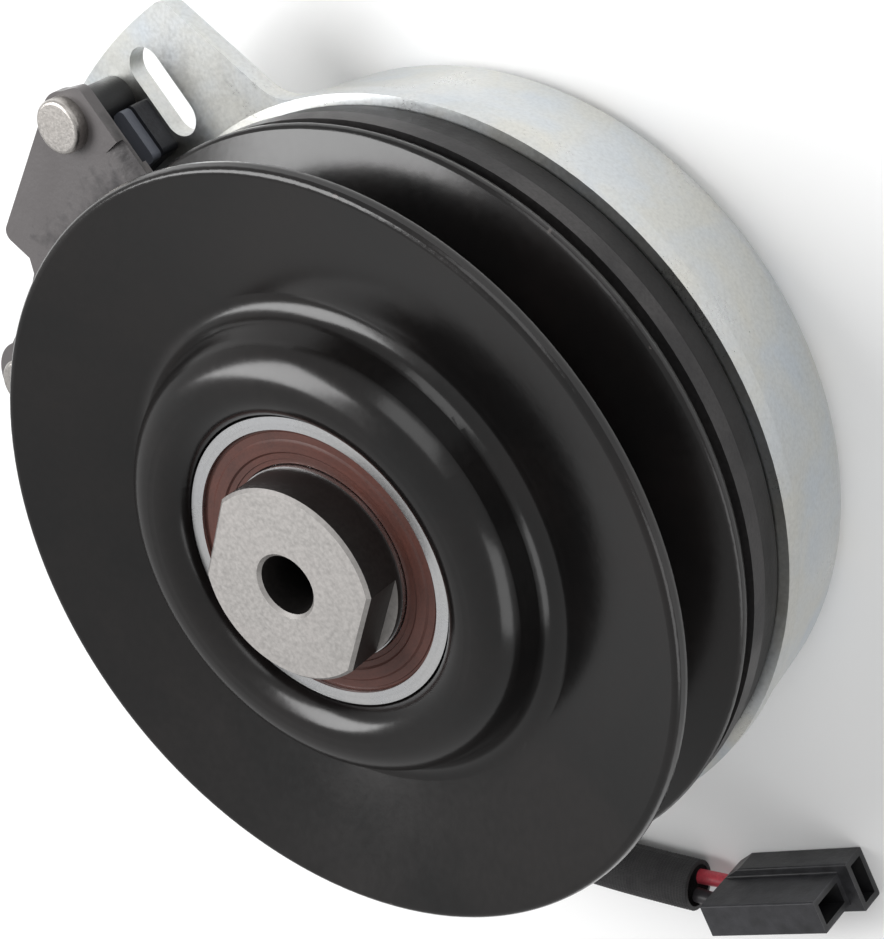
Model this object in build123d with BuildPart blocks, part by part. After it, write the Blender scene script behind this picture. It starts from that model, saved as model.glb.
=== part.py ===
"""Electric power take-off clutch and brake of a ride-on mower, in millimetres.

The clutch lies on the flat back of its field shell, with the pulley and the hub nose up.
Z is the crankshaft's axis, the origin is on it in the plane of the shell's back, and +Y runs
through the anti-rotation slot. From the back to the front come the field (shell, coil and field
bearing), the rotor on its hub, the armature on three leaf springs, and the two-piece V pulley on
its own bearing. The brake plate hangs from the field on two pins in front of the armature.
"""
from math import atan2, cos, degrees, hypot, radians, sin, tan
import os

from build123d import *

os.makedirs("parts", exist_ok=True)

# ---------------------------------------------------------------- driving dimensions
# Field shell: a cup pressed from one sheet, with two ears turned out at its mouth.
shell_radius = 71.9
shell_depth = 27.0
shell_sheet = 3.6
shell_corner = 4.6
shell_draft = 2.9                     # how much narrower the cup is at its back than at its mouth
shell_back_hole = 24.0
ear_reach = 97.2                      # radius of the slotted ear's outer edge
ear_right_angle = 82.3
ear_left_angle = 102.0
ear_foot_right = 23.0
ear_foot_left = -27.0
ear_corner = 3.0
ear_blend = 9.0
slot_width = 7.6
slot_length = 18.2
slot_centre = 84.4

# Brake: plate on two pins, with a magnet and its pole shoe beside each pin.
first_pin = (-10.8, 89.3)
second_pin = (-62.8, 59.4)
lug_radius = 8.0
pin_radius = 3.0
pin_head_radius = 5.1
pin_head_height = 2.8
pin_tail_radius = 4.2
pin_tail_height = 1.5
bush_radius = 4.5
bush_short = 1.2                      # from a bush's front to the back of the plate
brake_sheet = 2.4
brake_tongue = 1.1                    # thickness of the part that reaches in under the pulley
brake_lug_back = 38.1                 # height of the back of the plate's outer part
brake_gap = 0.1                       # from the released armature to the plate
brake_inner_radius = 60.0
brake_joggle_inner = 73.0
brake_joggle_outer = 75.4
magnet_start = 75.2
pole_shoe_height = 4.0
magnet_height = 2.2
magnet_inset = 0.8
magnet_right = -4.4
magnet_left = -21.0
magnet_top = 86.0
magnet_radial = 6.0
magnet_width = 16.0
magnet_round = 1.2
pin_lobe_radius = 5.9
pin_head_round = 0.8
bush_chamfer = 0.7
lug_round = 2.0
second_lug_angle = 142.0              # where the plate ends beyond the second pin
brake_right_edge = -3.0
bevel_width = 4.0
bevel_drop = 1.6
bevel_end = 80.5

# Coil and inner pole.
pole_inner_radius = 31.0              # also the field bearing's outer radius
pole_outer_radius = 35.9
pole_front = 26.9
coil_clearance = 0.5
pole_gap = 0.6                        # from the rotor's skirts to the poles
bobbin_wall = 1.2
bobbin_height = 18.9
winding_outer_radius = 62.0
potting_height = 1.2

# Rotor and hub.
hub_radius = 15.0
hub_rear = 0.0
crankshaft_bore = 12.7
crankshaft_bore_end = 52.0
keyway_width = 6.35
keyway_reach = 15.9
keyway_end = 30.0
bolt_hole = 5.55
nose_radius = 18.1
nose_ledge = 1.1
nose_height = 8.4
nose_flats = 32.0
nose_chamfer = 0.6
nose_flat_angle = -58.8
boss_radius = 20.0
boss_rear = 0.8
boss_shoulder = 23.5
rotor_radius = 70.0
rotor_gap = 0.6                       # from the shell's mouth to the rotor
rotor_thickness = 5.4
skirt_thickness = 3.0
skirt_depth = 3.0
rotor_slot_radius = 49.0
rotor_slot_width = 3.6
rotor_rim_round = 0.9
banana_count = 6
banana_sweep = 44.0
lining_inner = 58.5
lining_outer = 64.5
lining_depth = 1.5
lining_proud = 0.1

# Armature and its springs.
air_gap = 0.4
armature_thickness = 3.7
armature_inner = 42.5
armature_outer = 70.9
armature_slot_radius = 58.5
armature_slot_width = 3.2
spring_count = 3
spring_sheet = 0.6
spring_width = 9.0
spring_root_radius = 37.0
spring_tip_radius = 50.5
spring_sweep = 38.0
post_radius = 4.0
rivet_radius = 2.0
rivet_head_radius = 3.4
rivet_head_height = 1.2
rivet_head_round = 0.5

# Pulley: two pressed halves that meet at the foot of the belt groove.
pulley_radius = 71.7
pulley_sheet = 3.0
groove_rear = 41.6                    # groove side of the rear rim
groove_front = 59.3                   # groove side of the front rim
joint_height = 51.6
front_flange_angle = 17.2
foot_radius = 6.6
dome_height = 65.2
dome_wall_angle = 70.0
dome_outer_round = 4.0
dome_inner_round = 2.6
rim_round = 1.1
collar_gap = 0.4
rear_foot = 45.5
rear_collar_end = 40.5
rear_collar_round = 4.0

# Circlips that hold the field bearing.
circlip_sheet = 1.2
circlip_groove = 1.0
circlip_width = 2.4
circlip_gap = 14.0
circlip_lug = 1.7
circlip_hole = 0.7

# Bearings: a double-row one in the pulley and a thin single-row one in the field.
pulley_bearing_outer = 27.5
pulley_bearing_width = 23.0
pulley_bearing_rear = 38.5
pulley_bearing_step = 5.8             # from the middle of the bearing to each row
field_bearing_inner = boss_radius
field_bearing_width = 12.0
pulley_pitch = 20.6
pulley_ball = 3.1
pulley_ball_count = 13
pulley_inner_shoulder = 18.3
pulley_outer_shoulder = 23.0
pulley_seal_seat = 25.1
field_pitch = 25.5
field_ball = 3.0
field_ball_count = 16
field_inner_shoulder = 23.4
field_outer_shoulder = 27.6
field_seal_seat = 28.4
seal_sheet = 0.9
seal_recess = 0.4                     # from the bearing's face to the seal
cage_half = 0.8
cage_rear = 1.0
cage_front = 3.8

# Lead: a braided sleeve over two wires, with a two-way connector.
sleeve_radius = 5.15
sleeve_route = [
    (-58.6, -48.2, 12.2),
    (-59.6, -58.2, 10.9),
    (-57.6, -68.9, 8.3),
    (-52.5, -78.6, 6.1),
    (-44.6, -86.4, 5.4),
    (-27.4, -97.2, 5.2),
]
wire_radius = 1.5
wire_offset = 1.45                    # from the sleeve's middle up or down to a wire
wire_aside = 1.2                      # from the sleeve's middle sideways to a wire
wire_end_gap = 0.3                    # from the connector's seam to the black wire
wire_run = 4.1
wire_lift = 0.35                      # share of the wire's rise in its first run
boot_radius = 6.9
boot_back = 10.0                      # from the sleeve's seat back into the shell's wall
boot_bore = 5.35
boot_plug_radius = 5.0
boot_angle = -143.4
boot_height = 12.7
boot_chamfer = 1.0
connector_angle = -15.0
connector_back = (-20.0, -100.7)      # middle of the connector's back end
connector_long = 28.8
connector_short = 26.2
connector_tall = 10.4
connector_flat = 6.8
connector_split = 6.2                 # height of the seam between the two ways
connector_height = 16.1
connector_wall = 1.25
connector_shoulder = 4.0
connector_round = 0.4
cavity_depth = 12.0
blade_width = 6.3
blade_sheet = 0.8
blade_short = 3.5                     # from the mouth of a way to its blade

# Fits.
running_clearance = 0.05
seat_clearance = 0.02
pin_clearance = 0.05
seal_clearance = 0.15
boot_clearance = 0.1

# ---------------------------------------------------------------- derived heights
shell_inner = shell_radius - shell_sheet
rotor_rear = shell_depth + rotor_gap
rotor_front = rotor_rear + rotor_thickness
friction_face = rotor_front + lining_proud
armature_rear = friction_face + air_gap
armature_front = armature_rear + armature_thickness
brake_inner_back = armature_front + brake_gap
brake_lug_front = brake_lug_back + brake_sheet
pulley_bearing_front = pulley_bearing_rear + pulley_bearing_width
nose_front = pulley_bearing_front + nose_height
field_bearing_rear = shell_sheet
field_bearing_front = field_bearing_rear + field_bearing_width
bobbin_inner = pole_outer_radius + coil_clearance
bobbin_outer = shell_inner - shell_draft - (shell_corner - shell_sheet)
potting_bottom = shell_sheet + bobbin_height
inner_skirt = pole_outer_radius + pole_gap
outer_skirt = shell_inner - pole_gap
boss_clip_height = field_bearing_rear - circlip_sheet
second_pin_angle = degrees(atan2(second_pin[1], second_pin[0]))


def polar(radius, angle):
    """Give the point at a radius and an angle in degrees."""
    return (radius * cos(radians(angle)), radius * sin(radians(angle)))


def ring(inner, outer, bottom, top):
    """Add a plain ring about the axis to the part that is being built."""
    with BuildSketch(Plane.XY.offset(bottom)) as outline:
        Circle(outer)
        Circle(inner, mode=Mode.SUBTRACT)
    extrude(outline.sketch, amount=top - bottom)


def ring_cut(radius, bottom, top):
    """Cut a round opening of a radius between two heights."""
    with BuildSketch(Plane.XY.offset(bottom)) as outline:
        Circle(radius)
    extrude(outline.sketch, amount=top - bottom, mode=Mode.SUBTRACT)


def turned(points):
    """Add the solid that a closed radius-and-height outline sweeps about the axis."""
    with BuildSketch(Plane.XZ) as outline:
        with BuildLine():
            Polyline(*points, close=True)
        make_face()
    revolve(outline.sketch, axis=Axis.Z)


def cut_ball_track(pitch_radius, track_radius, height):
    """Cut the round track of one row of balls."""
    with BuildSketch(Plane.XZ) as outline:
        with Locations((pitch_radius, height)):
            Circle(track_radius)
    revolve(outline.sketch, axis=Axis.Z, mode=Mode.SUBTRACT)


# ---------------------------------------------------------------- field shell
boot_seat = Plane(origin=(*polar(shell_inner, boot_angle), boot_height), z_dir=(*polar(1, boot_angle), 0))
with BuildPart() as field_shell:
    with BuildSketch(Plane.XZ):
        with BuildLine():
            FilletPolyline(
                (shell_back_hole, 0),
                (shell_radius - shell_draft, 0),
                (shell_radius, shell_depth),
                radius=shell_corner,
            )
            offset(amount=shell_sheet, side=Side.LEFT)
        make_face()
    revolve(axis=Axis.Z)
    with BuildSketch(Plane.XY.offset(shell_depth - shell_sheet)):
        Circle(shell_radius)
        with BuildLine():
            right_corner = polar(ear_reach, ear_right_angle)
            left_corner = polar(ear_reach, ear_left_angle)
            ThreePointArc(right_corner, (0, ear_reach), left_corner)
            Polyline(left_corner, (ear_foot_left, slot_centre - 20), (ear_foot_right, slot_centre - 20),
                     right_corner)
        make_face()
        with PolarLocations(hypot(*second_pin) / 2, 1, start_angle=second_pin_angle):
            Rectangle(hypot(*second_pin), 2 * lug_radius)
        with Locations(second_pin):
            Circle(lug_radius)
        inward = vertices().sort_by(lambda corner: abs(hypot(corner.X, corner.Y) - shell_radius))[0:4]
        fillet(inward, radius=ear_blend)
        outward = vertices().filter_by(lambda corner: hypot(corner.X, corner.Y) > ear_reach - 0.5)
        fillet(outward, radius=ear_corner)
        Circle(shell_inner, mode=Mode.SUBTRACT)
        with Locations((0, slot_centre)):
            SlotOverall(slot_length, slot_width, rotation=90, mode=Mode.SUBTRACT)
        with Locations(first_pin, second_pin):
            Circle(pin_radius + pin_clearance, mode=Mode.SUBTRACT)
    extrude(amount=shell_sheet)
    with BuildSketch(boot_seat):
        Circle(boot_plug_radius + boot_clearance)
    extrude(amount=2 * shell_sheet, both=True, mode=Mode.SUBTRACT)
field_shell.part.label = "field_shell"
export_step(field_shell.part, "parts/field_shell.step")


# ---------------------------------------------------------------- inner pole and coil
with BuildPart() as inner_pole:
    ring(pole_inner_radius, pole_outer_radius, shell_sheet, pole_front)
    with BuildSketch(Plane.XY.offset(field_bearing_front)):
        Circle(pole_inner_radius + circlip_groove)
    extrude(amount=circlip_sheet + seat_clearance, mode=Mode.SUBTRACT)
inner_pole.part.label = "inner_pole"
export_step(inner_pole.part, "parts/inner_pole.step")

with BuildPart() as coil_bobbin:
    ring(bobbin_inner, bobbin_inner + bobbin_wall, shell_sheet, potting_bottom)
    ring(bobbin_inner, bobbin_outer, shell_sheet, shell_sheet + bobbin_wall)
    ring(bobbin_inner, bobbin_outer, potting_bottom - bobbin_wall, potting_bottom)
coil_bobbin.part.label = "coil_bobbin"
export_step(coil_bobbin.part, "parts/coil_bobbin.step")

with BuildPart() as coil_winding:
    ring(bobbin_inner + bobbin_wall, winding_outer_radius, shell_sheet + bobbin_wall,
         potting_bottom - bobbin_wall)
coil_winding.part.label = "coil_winding"
export_step(coil_winding.part, "parts/coil_winding.step")

potting_outer = shell_inner - shell_draft * (1 - potting_bottom / shell_depth)
with BuildPart() as potting_ring:
    ring(pole_outer_radius, potting_outer, potting_bottom, potting_bottom + potting_height)
potting_ring.part.label = "potting_ring"
export_step(potting_ring.part, "parts/potting_ring.step")


# ---------------------------------------------------------------- brake
pin_reach = hypot(*second_pin)
brake_lug_outline = [
    (brake_right_edge, brake_inner_radius - 2),
    (brake_right_edge, 92.4),
    (-9.4, 94.9),
    (-12.9, 94.5),
    (-43.6, 83.4),
    polar(87.2, 118.4),
    polar(85.6, 120.2),
    polar(86.6, 126.0),
    polar(pin_reach + lug_radius, second_pin_angle),
    polar(pin_reach, second_lug_angle),
    polar(brake_inner_radius - 2, second_lug_angle),
    polar(brake_inner_radius - 2, 120.0),
]
with BuildPart() as brake_plate:
    with BuildSketch(Plane.XY.offset(brake_lug_back)):
        with BuildLine():
            Polyline(*brake_lug_outline, close=True)
        make_face()
        with Locations(first_pin):
            Circle(pin_lobe_radius)
        fillet(vertices().filter_by(lambda corner: hypot(corner.X, corner.Y) > 90), radius=lug_round)
        with Locations(second_pin):
            Circle(lug_radius)
        Circle(brake_joggle_inner, mode=Mode.SUBTRACT)
        with Locations(first_pin, second_pin):
            Circle(pin_radius + pin_clearance, mode=Mode.SUBTRACT)
    extrude(amount=brake_sheet)
    with BuildSketch(Plane.XY.offset(brake_inner_back)):
        with BuildLine():
            Polyline(*brake_lug_outline, close=True)
        make_face()
        Circle(brake_joggle_outer, mode=Mode.INTERSECT)
        Circle(brake_inner_radius, mode=Mode.SUBTRACT)
    extrude(amount=brake_tongue)
    with BuildSketch(Plane.XZ.offset(-bevel_end)):
        with BuildLine():
            Polyline(
                (brake_right_edge - bevel_width, brake_lug_front),
                (brake_right_edge + 1, brake_lug_front - bevel_drop * (1 + 1 / bevel_width)),
                (brake_right_edge + 1, brake_lug_front + 1),
                (brake_right_edge - bevel_width, brake_lug_front + 1),
                close=True,
            )
        make_face()
    extrude(amount=bevel_end - brake_joggle_inner, mode=Mode.SUBTRACT)
brake_plate.part.label = "brake_plate"
export_step(brake_plate.part, "parts/brake_plate.step")

with BuildPart() as brake_pins:
    tail = shell_depth - shell_sheet - pin_tail_height
    for radius, bottom, top in (
        (pin_tail_radius, tail, tail + pin_tail_height),
        (pin_radius, tail, brake_lug_front),
        (pin_head_radius, brake_lug_front, brake_lug_front + pin_head_height),
    ):
        with BuildSketch(Plane.XY.offset(bottom)):
            with Locations(first_pin, second_pin):
                Circle(radius)
        extrude(amount=top - bottom)
    fillet(edges().filter_by(GeomType.CIRCLE).group_by(Axis.Z)[-1], radius=pin_head_round)
brake_pins.part.label = "brake_pins"
export_step(brake_pins.part, "parts/brake_pins.step")

with BuildPart() as pin_bushes:
    with BuildSketch(Plane.XY.offset(shell_depth)):
        with Locations(first_pin, second_pin):
            Circle(bush_radius)
            Circle(pin_radius + pin_clearance, mode=Mode.SUBTRACT)
    extrude(amount=brake_lug_back - bush_short - shell_depth)
    chamfer(edges().filter_by(GeomType.CIRCLE).group_by(SortBy.RADIUS)[-1].group_by(Axis.Z)[-1],
            length=bush_chamfer)
pin_bushes.part.label = "pin_bushes"
export_step(pin_bushes.part, "parts/pin_bushes.step")


def magnet_outline(inset):
    """Draw the two blocks beside the pins, their ends drawn in by the inset."""
    with Locations(((magnet_left + magnet_right) / 2, magnet_start)):
        Rectangle(magnet_right - magnet_left - 2 * inset, magnet_top - magnet_start,
                  align=(Align.CENTER, Align.MIN))
    with PolarLocations(magnet_start + magnet_radial / 2, 1, start_angle=second_pin_angle):
        Rectangle(magnet_radial, magnet_width - 2 * inset)
    fillet(vertices(), radius=magnet_round)
    with Locations(first_pin, second_pin):
        Circle(bush_radius + boot_clearance, mode=Mode.SUBTRACT)


with BuildPart() as magnet_pole_shoes:
    with BuildSketch(Plane.XY.offset(shell_depth)):
        magnet_outline(0)
    extrude(amount=pole_shoe_height)
magnet_pole_shoes.part.label = "magnet_pole_shoes"
export_step(magnet_pole_shoes.part, "parts/magnet_pole_shoes.step")

with BuildPart() as brake_magnets:
    with BuildSketch(Plane.XY.offset(shell_depth + pole_shoe_height)):
        magnet_outline(magnet_inset)
    extrude(amount=magnet_height)
brake_magnets.part.label = "brake_magnets"
export_step(brake_magnets.part, "parts/brake_magnets.step")


# ---------------------------------------------------------------- hub and rotor
with BuildPart() as rotor_hub:
    with BuildSketch(Plane.XY.offset(hub_rear)):
        Circle(hub_radius)
    extrude(amount=pulley_bearing_front - hub_rear)
    with BuildSketch(Plane.XY.offset(pulley_bearing_front)):
        Circle(nose_radius)
    extrude(amount=nose_height)
    flat_side = Plane(origin=(0, 0, pulley_bearing_front + nose_ledge), x_dir=(*polar(1, nose_flat_angle), 0))
    with BuildSketch(flat_side):
        with GridLocations(nose_flats + 2 * nose_radius, 0, 2, 1):
            Rectangle(2 * nose_radius, 4 * nose_radius)
    extrude(amount=nose_height, mode=Mode.SUBTRACT)
    chamfer(edges().group_by(Axis.Z)[-1], length=nose_chamfer)
    with BuildSketch(Plane.XY.offset(hub_rear)):
        Circle(crankshaft_bore)
    extrude(amount=crankshaft_bore_end - hub_rear, mode=Mode.SUBTRACT)
    with BuildSketch(Plane.XY.offset(hub_rear)):
        Rectangle(hub_radius + 1, keyway_width, align=(Align.MIN, Align.CENTER))
    extrude(amount=keyway_end - hub_rear, mode=Mode.SUBTRACT)
    with BuildSketch(Plane.XY.offset(nose_front)):
        Circle(bolt_hole)
    extrude(amount=-(nose_front - crankshaft_bore_end), mode=Mode.SUBTRACT)
    chamfer(edges().filter_by(GeomType.CIRCLE).group_by(Axis.Z)[-1].sort_by(SortBy.RADIUS)[0],
            length=nose_chamfer)
rotor_hub.part.label = "rotor_hub"
export_step(rotor_hub.part, "parts/rotor_hub.step")

with BuildPart() as rotor_disc:
    turned([
        (hub_radius, boss_rear),
        (boss_radius, boss_rear),
        (boss_radius, field_bearing_front),
        (boss_shoulder, field_bearing_front),
        (boss_shoulder, rotor_rear),
        (inner_skirt, rotor_rear),
        (inner_skirt, rotor_rear - skirt_depth),
        (inner_skirt + skirt_thickness, rotor_rear - skirt_depth),
        (inner_skirt + skirt_thickness, rotor_rear),
        (outer_skirt - skirt_thickness, rotor_rear),
        (outer_skirt - skirt_thickness, rotor_rear - skirt_depth),
        (outer_skirt, rotor_rear - skirt_depth),
        (outer_skirt, rotor_rear),
        (rotor_radius, rotor_rear),
        (rotor_radius, rotor_front),
        (hub_radius, rotor_front),
    ])
    fillet(edges().filter_by(GeomType.CIRCLE).group_by(Axis.Z)[-1].sort_by(SortBy.RADIUS)[-1],
           radius=rotor_rim_round)
    with BuildSketch(Plane.XY.offset(rotor_front)):
        Circle(lining_outer)
        Circle(lining_inner, mode=Mode.SUBTRACT)
    extrude(amount=-lining_depth, mode=Mode.SUBTRACT)
    with BuildSketch(Plane.XY.offset(rotor_rear)):
        for index in range(banana_count):
            middle = index * 360 / banana_count
            SlotArc(CenterArc((0, 0), rotor_slot_radius, middle - banana_sweep / 2, banana_sweep,
                              mode=Mode.PRIVATE), rotor_slot_width)
    extrude(amount=rotor_thickness, mode=Mode.SUBTRACT)
    with BuildSketch(Plane.XY.offset(boss_rear)):
        Rectangle(keyway_reach, keyway_width, align=(Align.MIN, Align.CENTER))
    extrude(amount=keyway_end - boss_rear, mode=Mode.SUBTRACT)
    with BuildSketch(Plane.XY.offset(boss_clip_height)):
        Circle(boss_radius + 1)
        Circle(boss_radius - circlip_groove, mode=Mode.SUBTRACT)
    extrude(amount=circlip_sheet + seat_clearance, mode=Mode.SUBTRACT)
rotor_disc.part.label = "rotor_disc"
export_step(rotor_disc.part, "parts/rotor_disc.step")

with BuildPart() as friction_lining:
    ring(lining_inner, lining_outer, rotor_front - lining_depth, friction_face)
friction_lining.part.label = "friction_lining"
export_step(friction_lining.part, "parts/friction_lining.step")

with BuildPart() as bearing_spacer:
    ring(hub_radius, pulley_inner_shoulder, rotor_front, pulley_bearing_rear)
bearing_spacer.part.label = "bearing_spacer"
export_step(bearing_spacer.part, "parts/bearing_spacer.step")


def circlip(inner, outer, lug_place, bottom):
    """Add an open snap ring with two drilled lugs centred at a radius."""
    lug_turn = circlip_gap / 2 + degrees(circlip_lug / lug_place)
    lugs = [polar(lug_place, 180 - lug_turn), polar(lug_place, 180 + lug_turn)]
    with BuildSketch(Plane.XY.offset(bottom)) as outline:
        Circle(outer)
        Circle(inner, mode=Mode.SUBTRACT)
        with BuildLine():
            Polyline((0, 0), polar(2 * outer, 180 - circlip_gap / 2), polar(2 * outer, 180 + circlip_gap / 2),
                     close=True)
        make_face(mode=Mode.SUBTRACT)
        with Locations(*lugs):
            Circle(circlip_lug)
            Circle(circlip_hole, mode=Mode.SUBTRACT)
    extrude(outline.sketch, amount=circlip_sheet)


with BuildPart() as pole_circlip:
    circlip(pole_inner_radius - circlip_width, pole_inner_radius + circlip_groove - seat_clearance,
            pole_inner_radius - circlip_width, field_bearing_front)
pole_circlip.part.label = "pole_circlip"
export_step(pole_circlip.part, "parts/pole_circlip.step")

with BuildPart() as boss_circlip:
    circlip(boss_radius - circlip_groove + seat_clearance, boss_radius + circlip_width - circlip_groove,
            boss_radius + circlip_lug / 2, boss_clip_height)
boss_circlip.part.label = "boss_circlip"
export_step(boss_circlip.part, "parts/boss_circlip.step")


# ---------------------------------------------------------------- pulley
def front_half_path():
    """Give the corners of the front half's groove side, from its rim to its collar."""
    slope = tan(radians(front_flange_angle))
    turn = front_flange_angle + dome_wall_angle
    drop = groove_front - joint_height
    lift = foot_radius * (1 / cos(radians(front_flange_angle)) - 1)
    foot_centre = (pulley_radius - (drop + lift) / slope, joint_height + foot_radius)
    middle = radians((front_flange_angle + 180 - dome_wall_angle) / 2)
    reach = foot_radius / cos(radians(turn / 2))
    foot = (foot_centre[0] - reach * cos(middle), foot_centre[1] - reach * sin(middle))
    dome_under = dome_height - pulley_sheet
    shoulder = (foot[0] - (dome_under - foot[1]) / tan(radians(dome_wall_angle)), dome_under)
    collar = pulley_bearing_outer + pulley_sheet
    return [(pulley_radius, groove_front), foot, shoulder, (collar, dome_under),
            (collar, joint_height + collar_gap)]


with BuildPart() as front_sheave_half:
    with BuildSketch(Plane.XZ):
        with BuildLine():
            FilletPolyline(*front_half_path(), radius=[foot_radius, dome_outer_round, dome_inner_round])
            offset(amount=pulley_sheet, side=Side.RIGHT)
        make_face()
    revolve(axis=Axis.Z)
    fillet(edges().filter_by(GeomType.CIRCLE).filter_by(lambda rim: rim.radius > pulley_radius - pulley_sheet),
           radius=rim_round)
front_sheave_half.part.label = "front_sheave_half"
export_step(front_sheave_half.part, "parts/front_sheave_half.step")

with BuildPart() as rear_sheave_half:
    with BuildSketch(Plane.XZ):
        with BuildLine():
            FilletPolyline(
                (pulley_radius, groove_rear),
                (rear_foot, joint_height),
                (pulley_bearing_outer, joint_height),
                (pulley_bearing_outer, rear_collar_end),
                radius=[foot_radius, rear_collar_round],
            )
            offset(amount=pulley_sheet, side=Side.LEFT)
        make_face()
    revolve(axis=Axis.Z)
    fillet(edges().filter_by(GeomType.CIRCLE).filter_by(lambda rim: rim.radius > pulley_radius - pulley_sheet),
           radius=rim_round)
    with BuildSketch(Plane.XY.offset(joint_height)):
        with PolarLocations(spring_root_radius, spring_count):
            Circle(rivet_radius + pin_clearance)
    extrude(amount=-2 * pulley_sheet, mode=Mode.SUBTRACT)
rear_sheave_half.part.label = "rear_sheave_half"
export_step(rear_sheave_half.part, "parts/rear_sheave_half.step")


# ---------------------------------------------------------------- armature and springs
spring_roots = [polar(spring_root_radius, turn * 360 / spring_count) for turn in range(spring_count)]
spring_tips = [polar(spring_tip_radius, spring_sweep + turn * 360 / spring_count) for turn in range(spring_count)]
spring_top = armature_front + spring_sheet

with BuildPart() as armature_plate:
    ring(armature_inner, armature_outer, armature_rear, armature_front)
    with BuildSketch(Plane.XY.offset(armature_rear)):
        with Locations(*spring_tips):
            Circle(rivet_radius + pin_clearance)
        for index in range(banana_count):
            middle = (index + 0.5) * 360 / banana_count
            SlotArc(CenterArc((0, 0), armature_slot_radius, middle - banana_sweep / 2, banana_sweep,
                              mode=Mode.PRIVATE), armature_slot_width)
    extrude(amount=armature_thickness, mode=Mode.SUBTRACT)
armature_plate.part.label = "armature_plate"
export_step(armature_plate.part, "parts/armature_plate.step")

with BuildPart() as leaf_springs:
    with BuildSketch(Plane.XY.offset(armature_front)):
        for root, tip in zip(spring_roots, spring_tips):
            SlotCenterPoint(((root[0] + tip[0]) / 2, (root[1] + tip[1]) / 2), tip, spring_width)
        with Locations(*spring_roots, *spring_tips):
            Circle(rivet_radius + pin_clearance, mode=Mode.SUBTRACT)
    extrude(amount=spring_sheet)
leaf_springs.part.label = "leaf_springs"
export_step(leaf_springs.part, "parts/leaf_springs.step")

with BuildPart() as spring_posts:
    with BuildSketch(Plane.XY.offset(spring_top)):
        with Locations(*spring_roots):
            Circle(post_radius)
            Circle(rivet_radius + pin_clearance, mode=Mode.SUBTRACT)
    extrude(amount=joint_height - pulley_sheet - spring_top)
spring_posts.part.label = "spring_posts"
export_step(spring_posts.part, "parts/spring_posts.step")


def rivets(places, rear_head, shank_rear, shank_front):
    """Add rivets at the places, with a front head and, when asked, a rear head."""
    heads = [(shank_front, rivet_head_height)]
    if rear_head:
        heads.append((shank_rear, -rivet_head_height))
    for height, amount in heads:
        with BuildSketch(Plane.XY.offset(height)) as head:
            with Locations(*places):
                Circle(rivet_head_radius)
        extrude(head.sketch, amount=amount)
    fillet(edges().filter_by(GeomType.CIRCLE).group_by(Axis.Z)[-1], radius=rivet_head_round)
    with BuildSketch(Plane.XY.offset(shank_rear)) as shank:
        with Locations(*places):
            Circle(rivet_radius)
    extrude(shank.sketch, amount=shank_front - shank_rear)


with BuildPart() as post_rivets:
    rivets(spring_roots, True, armature_front, joint_height)
post_rivets.part.label = "post_rivets"
export_step(post_rivets.part, "parts/post_rivets.step")

with BuildPart() as armature_rivets:
    rivets(spring_tips, False, armature_rear, spring_top)
armature_rivets.part.label = "armature_rivets"
export_step(armature_rivets.part, "parts/armature_rivets.step")


# ---------------------------------------------------------------- bearings
pulley_rows = [pulley_bearing_rear + pulley_bearing_width / 2 + side * pulley_bearing_step for side in (-1, 1)]
field_rows = [field_bearing_rear + field_bearing_width / 2]
seal_step = seal_sheet + seal_recess

with BuildPart() as pulley_inner_race:
    ring(hub_radius, pulley_inner_shoulder, pulley_bearing_rear, pulley_bearing_front)
    for row in pulley_rows:
        cut_ball_track(pulley_pitch, pulley_ball + running_clearance, row)
pulley_inner_race.part.label = "pulley_inner_race"
export_step(pulley_inner_race.part, "parts/pulley_inner_race.step")

with BuildPart() as pulley_outer_race:
    ring(pulley_outer_shoulder, pulley_bearing_outer, pulley_bearing_rear, pulley_bearing_front)
    ring_cut(pulley_seal_seat, pulley_bearing_rear, pulley_bearing_rear + seal_step)
    ring_cut(pulley_seal_seat, pulley_bearing_front - seal_step, pulley_bearing_front)
    for row in pulley_rows:
        cut_ball_track(pulley_pitch, pulley_ball + running_clearance, row)
pulley_outer_race.part.label = "pulley_outer_race"
export_step(pulley_outer_race.part, "parts/pulley_outer_race.step")

with BuildPart() as field_inner_race:
    ring(field_bearing_inner, field_inner_shoulder, field_bearing_rear, field_bearing_front)
    for row in field_rows:
        cut_ball_track(field_pitch, field_ball + running_clearance, row)
field_inner_race.part.label = "field_inner_race"
export_step(field_inner_race.part, "parts/field_inner_race.step")

with BuildPart() as field_outer_race:
    ring(field_outer_shoulder, pole_inner_radius, field_bearing_rear, field_bearing_front)
    ring_cut(field_seal_seat, field_bearing_rear, field_bearing_rear + seal_step)
    ring_cut(field_seal_seat, field_bearing_front - seal_step, field_bearing_front)
    for row in field_rows:
        cut_ball_track(field_pitch, field_ball + running_clearance, row)
field_outer_race.part.label = "field_outer_race"
export_step(field_outer_race.part, "parts/field_outer_race.step")


def seal(lip, seat, bottom):
    """Add one bearing seal, a thin flat ring."""
    ring(lip, seat, bottom, bottom + seal_sheet)


with BuildPart() as pulley_front_seal:
    seal(pulley_inner_shoulder + seal_clearance, pulley_seal_seat, pulley_bearing_front - seal_step)
pulley_front_seal.part.label = "pulley_front_seal"
export_step(pulley_front_seal.part, "parts/pulley_front_seal.step")

with BuildPart() as pulley_rear_seal:
    seal(pulley_inner_shoulder + seal_clearance, pulley_seal_seat, pulley_bearing_rear + seal_recess)
pulley_rear_seal.part.label = "pulley_rear_seal"
export_step(pulley_rear_seal.part, "parts/pulley_rear_seal.step")

with BuildPart() as field_bearing_seals:
    seal(field_inner_shoulder + seal_clearance, field_seal_seat, field_bearing_front - seal_step)
    seal(field_inner_shoulder + seal_clearance, field_seal_seat, field_bearing_rear + seal_recess)
field_bearing_seals.part.label = "field_bearing_seals"
export_step(field_bearing_seals.part, "parts/field_bearing_seals.step")


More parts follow.
